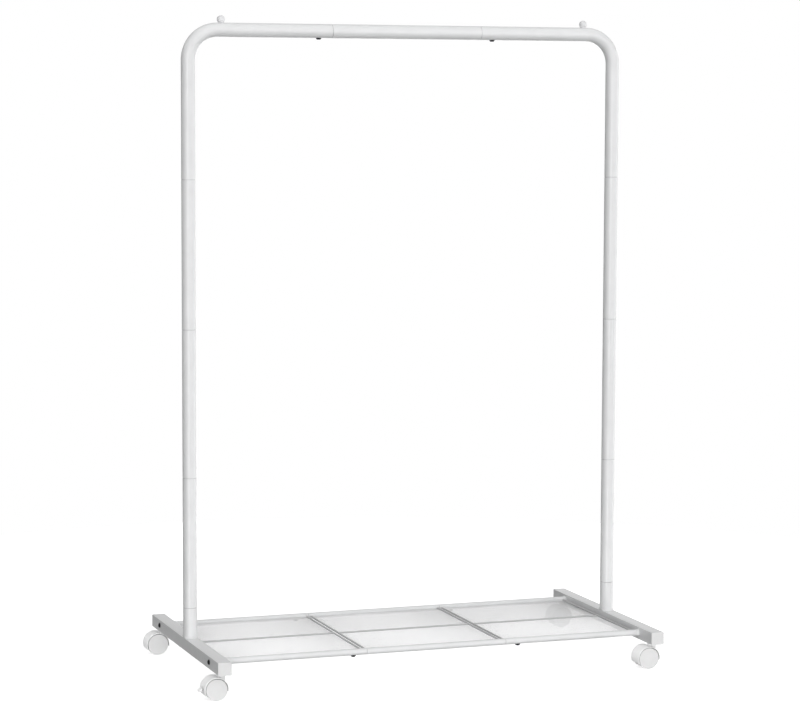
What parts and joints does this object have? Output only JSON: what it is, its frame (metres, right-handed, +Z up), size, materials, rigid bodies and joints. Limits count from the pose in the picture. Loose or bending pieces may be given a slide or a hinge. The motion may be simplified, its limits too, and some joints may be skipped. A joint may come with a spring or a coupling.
{
  "type": "rolling clothes rack",
  "caption": "Freestanding clothes rack: a hanging bar on two posts, square tube feet, a wire mesh bottom shelf and swivel casters, two of them with brake pedals.",
  "frame": {"origin": "on the floor, at the bottom centre of the whole rack's box; the rack's own middle plane lies 16.9 mm towards +X because the casters trail towards -X", "axes": "+X along the hanging bar, +Y from the front to the rear of the feet, +Z up"},
  "size_m": [1.1402, 0.6, 1.5425],
  "materials": {
    "frame_paint": "satin white powder coat on steel tube",
    "wire_paint": "white powder coat on steel wire",
    "plug_plastic": "moulded white polyethylene",
    "caster_plastic": "moulded white nylon",
    "wheel_plastic": "moulded white nylon",
    "ball_plastic": "smooth white plastic",
    "black_steel": "black oxide",
    "zinc_steel": "zinc plated"
  },
  "bodies": {
    "frame": {"left_foot_tube": "frame_paint", "right_foot_tube": "frame_paint", "left_post_stub": "frame_paint", "right_post_stub": "frame_paint", "front_left_plug": "plug_plastic", "rear_left_plug": "plug_plastic", "front_right_plug": "plug_plastic", "rear_right_plug": "plug_plastic", "caster_sockets": "zinc_steel", "left_post_lower": "frame_paint", "left_post_middle": "frame_paint", "left_post_upper": "frame_paint", "right_post_lower": "frame_paint", "right_post_middle": "frame_paint", "right_post_upper": "frame_paint", "left_elbow": "frame_paint", "right_elbow": "frame_paint", "bar_middle": "frame_paint", "left_stop_ball": "ball_plastic", "right_stop_ball": "ball_plastic", "bar_weld_nuts": "zinc_steel", "bar_screws": "black_steel", "front_rail_left": "frame_paint", "front_rail_middle": "frame_paint", "front_rail_right": "frame_paint", "rear_rail_left": "frame_paint", "rear_rail_middle": "frame_paint", "rear_rail_right": "frame_paint", "rail_end_inserts": "zinc_steel", "rail_weld_nuts": "zinc_steel", "rail_screws": "black_steel", "foot_bolts": "black_steel", "shelf_left_wires": "wire_paint", "shelf_middle_wires": "wire_paint", "shelf_right_wires": "wire_paint", "shelf_left_mesh": "wire_paint", "shelf_middle_mesh": "wire_paint", "shelf_right_mesh": "wire_paint", "caster_stems": "zinc_steel"},
    "front_left_swivel": {"front_left_hood": "caster_plastic", "front_left_axle": "zinc_steel", "front_left_pedal_pin": "zinc_steel"},
    "front_left_wheel_outer": {"front_left_wheel_outer": "wheel_plastic"},
    "front_left_wheel_inner": {"front_left_wheel_inner": "wheel_plastic"},
    "front_left_brake_pedal": {"front_left_pedal": "caster_plastic"},
    "front_right_swivel": {"front_right_hood": "caster_plastic", "front_right_axle": "zinc_steel"},
    "front_right_wheel_outer": {"front_right_wheel_outer": "wheel_plastic"},
    "front_right_wheel_inner": {"front_right_wheel_inner": "wheel_plastic"},
    "rear_left_swivel": {"rear_left_hood": "caster_plastic", "rear_left_axle": "zinc_steel"},
    "rear_left_wheel_outer": {"rear_left_wheel_outer": "wheel_plastic"},
    "rear_left_wheel_inner": {"rear_left_wheel_inner": "wheel_plastic"},
    "rear_right_swivel": {"rear_right_hood": "caster_plastic", "rear_right_axle": "zinc_steel", "rear_right_pedal_pin": "zinc_steel"},
    "rear_right_wheel_outer": {"rear_right_wheel_outer": "wheel_plastic"},
    "rear_right_wheel_inner": {"rear_right_wheel_inner": "wheel_plastic"},
    "rear_right_brake_pedal": {"rear_right_pedal": "caster_plastic"}
  },
  "joints": [
    {"name": "front_left_swivel_turn", "type": "hinge", "parent": "frame", "child": "front_left_swivel", "pos_m": [-0.51712, -0.265, 0.05], "axis": [0, 0, 1], "continuous": true},
    {"name": "front_left_wheel_outer_spin", "type": "hinge", "parent": "front_left_swivel", "child": "front_left_wheel_outer", "pos_m": [-0.53212, -0.27875, 0.025], "axis": [0, 1, 0], "continuous": true},
    {"name": "front_left_wheel_inner_spin", "type": "hinge", "parent": "front_left_swivel", "child": "front_left_wheel_inner", "pos_m": [-0.53212, -0.25125, 0.025], "axis": [0, 1, 0], "continuous": true},
    {"name": "front_left_brake_pedal_press", "type": "hinge", "parent": "front_left_swivel", "child": "front_left_brake_pedal", "pos_m": [-0.54912, -0.265, 0.028], "axis": [0, 1, 0], "range_deg": [-15, 0]},
    {"name": "front_right_swivel_turn", "type": "hinge", "parent": "frame", "child": "front_right_swivel", "pos_m": [0.55088, -0.265, 0.05], "axis": [0, 0, 1], "continuous": true},
    {"name": "front_right_wheel_outer_spin", "type": "hinge", "parent": "front_right_swivel", "child": "front_right_wheel_outer", "pos_m": [0.53587, -0.27875, 0.025], "axis": [0, 1, 0], "continuous": true},
    {"name": "front_right_wheel_inner_spin", "type": "hinge", "parent": "front_right_swivel", "child": "front_right_wheel_inner", "pos_m": [0.53587, -0.25125, 0.025], "axis": [0, 1, 0], "continuous": true},
    {"name": "rear_left_swivel_turn", "type": "hinge", "parent": "frame", "child": "rear_left_swivel", "pos_m": [-0.51712, 0.265, 0.05], "axis": [0, 0, 1], "continuous": true},
    {"name": "rear_left_wheel_outer_spin", "type": "hinge", "parent": "rear_left_swivel", "child": "rear_left_wheel_outer", "pos_m": [-0.53212, 0.27875, 0.025], "axis": [0, 1, 0], "continuous": true},
    {"name": "rear_left_wheel_inner_spin", "type": "hinge", "parent": "rear_left_swivel", "child": "rear_left_wheel_inner", "pos_m": [-0.53212, 0.25125, 0.025], "axis": [0, 1, 0], "continuous": true},
    {"name": "rear_right_swivel_turn", "type": "hinge", "parent": "frame", "child": "rear_right_swivel", "pos_m": [0.55088, 0.265, 0.05], "axis": [0, 0, 1], "continuous": true},
    {"name": "rear_right_wheel_outer_spin", "type": "hinge", "parent": "rear_right_swivel", "child": "rear_right_wheel_outer", "pos_m": [0.53587, 0.27875, 0.025], "axis": [0, 1, 0], "continuous": true},
    {"name": "rear_right_wheel_inner_spin", "type": "hinge", "parent": "rear_right_swivel", "child": "rear_right_wheel_inner", "pos_m": [0.53587, 0.25125, 0.025], "axis": [0, 1, 0], "continuous": true},
    {"name": "rear_right_brake_pedal_press", "type": "hinge", "parent": "rear_right_swivel", "child": "rear_right_brake_pedal", "pos_m": [0.51887, 0.265, 0.028], "axis": [0, 1, 0], "range_deg": [-15, 0]}
  ]
}
